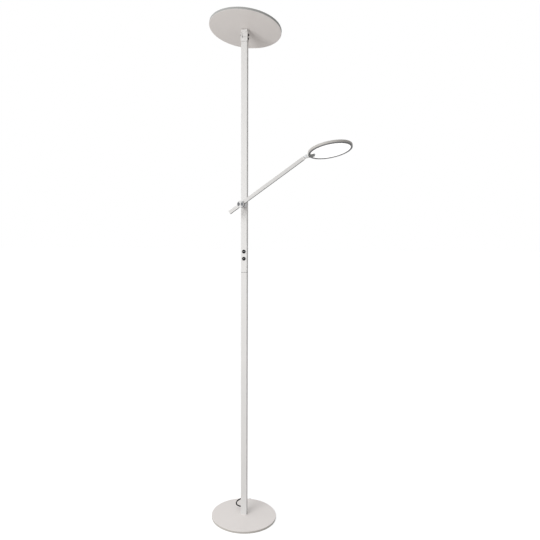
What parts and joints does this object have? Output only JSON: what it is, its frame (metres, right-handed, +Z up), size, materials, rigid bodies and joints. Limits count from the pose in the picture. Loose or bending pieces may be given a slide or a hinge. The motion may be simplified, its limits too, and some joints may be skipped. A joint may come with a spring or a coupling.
{
  "type": "torchiere floor lamp with reading light",
  "caption": "Tall square-pole floor lamp with a tilting round uplight disc on top and an adjustable side arm that carries a round reading head.",
  "frame": {"origin": "centre of the base pad's underside, on the floor", "axes": "+Z up along the pole, -Y the front with the buttons, +X to the right, the side of the reading head"},
  "size_m": [0.5074, 0.2652, 1.8075],
  "materials": {
    "white_paint": "satin",
    "weight_steel": "matte",
    "zinc_steel": "satin",
    "turned_metal": "satin",
    "black_rubber": "matte",
    "black_button": "satin",
    "mark_light": "gloss",
    "white_plastic": "matte",
    "black_plastic": "matte",
    "board_green": "satin",
    "board_metal": "matte",
    "led_yellow": "gloss",
    "diffuser_white": "satin",
    "clear_guide": "gloss",
    "head_paint": "satin",
    "lip_grey": "satin",
    "black_screw": "satin",
    "nylon": "matte",
    "arm_metal": "satin"
  },
  "bodies": {
    "stand": {"base_cover": "white_paint", "base_weight": "weight_steel", "base_studs": "zinc_steel", "base_nuts": "zinc_steel", "base_pad": "black_rubber", "mains_gland": "black_plastic", "base_lead": "black_rubber", "cord_clamp": "zinc_steel", "base_grommet": "black_rubber", "jumper_lead": "black_rubber", "pole_grommet": "black_rubber", "pole_foot_plug": "zinc_steel", "pole_bolt": "zinc_steel", "lower_pole": "white_paint", "upper_pole": "white_paint", "pole_joiner": "zinc_steel", "joiner_screws": "white_paint", "pole_lead": "black_rubber", "led_driver": "white_plastic", "tact_switches": "black_plastic", "control_board": "board_green", "button_guide": "black_plastic", "pivot_barrel": "turned_metal", "pivot_spindle": "zinc_steel", "spindle_nut": "zinc_steel", "friction_washers": "nylon", "uplight_fork": "white_paint", "tilt_screw": "black_screw", "tilt_nut": "black_screw"},
    "button_upper": {"button_upper": "black_button", "upper_mark": "mark_light"},
    "button_lower": {"button_lower": "black_button", "lower_mark": "mark_light"},
    "pivot_knob": {"pivot_knob": "turned_metal"},
    "reading_arm": {"arm_tube": "arm_metal", "arm_bush": "nylon", "arm_tail_cap": "arm_metal", "arm_lead": "black_rubber", "arm_nose": "arm_metal"},
    "head_knuckle": {"knuckle_fork": "turned_metal", "knuckle_pin": "zinc_steel", "swivel_screw": "zinc_steel"},
    "reading_head": {"head_housing": "head_paint", "head_boss": "turned_metal", "boss_screws": "zinc_steel", "head_lip": "lip_grey", "head_diffuser": "diffuser_white", "head_light_guide": "clear_guide", "head_led_strip": "led_yellow", "head_reflector": "white_plastic", "head_back_frame": "white_plastic"},
    "uplight_link": {"uplight_link": "white_paint", "side_pin": "zinc_steel"},
    "uplight_head": {"uplight_hub": "white_paint", "hub_screws": "zinc_steel", "uplight_pan": "white_paint", "uplight_board": "board_metal", "uplight_leds": "led_yellow", "uplight_spacer": "white_plastic", "uplight_diffuser": "diffuser_white"}
  },
  "joints": [
    {"name": "button_upper_press", "type": "slide", "parent": "stand", "child": "button_upper", "axis": [0, 1, 0], "range_m": [0, 0.0008], "stiffness_N_per_m": 900, "springref_m": -0.0004},
    {"name": "button_lower_press", "type": "slide", "parent": "stand", "child": "button_lower", "axis": [0, 1, 0], "range_m": [0, 0.0008], "stiffness_N_per_m": 900, "springref_m": -0.0004},
    {"name": "arm_pivot", "type": "hinge", "parent": "stand", "child": "reading_arm", "pos_m": [0, -0.054, 1.1584], "axis": [0, -1, 0], "range_deg": [-90, 30]},
    {"name": "knob_turn", "type": "hinge", "parent": "stand", "child": "pivot_knob", "pos_m": [0, -0.054, 1.1584], "axis": [0, -1, 0], "range_deg": [0, 180]},
    {"name": "head_tilt", "type": "hinge", "parent": "reading_arm", "child": "head_knuckle", "pos_m": [0.22512, -0.054, 1.31721], "axis": [0, -1, 0], "range_deg": [-65, 60]},
    {"name": "head_swivel", "type": "hinge", "parent": "head_knuckle", "child": "reading_head", "pos_m": [0.22512, -0.054, 1.31721], "axis": [0.9833, 0, 0.1822], "range_deg": [-34, 55]},
    {"name": "uplight_tilt", "type": "hinge", "parent": "stand", "child": "uplight_link", "pos_m": [0, 0.006, 1.754], "axis": [1, 0, 0], "range_deg": [-29, 49]},
    {"name": "uplight_side_tilt", "type": "hinge", "parent": "uplight_link", "child": "uplight_head", "pos_m": [0, 0.00853, 1.76807], "axis": [0, 0.9842, -0.1771], "range_deg": [-20, 9]}
  ]
}
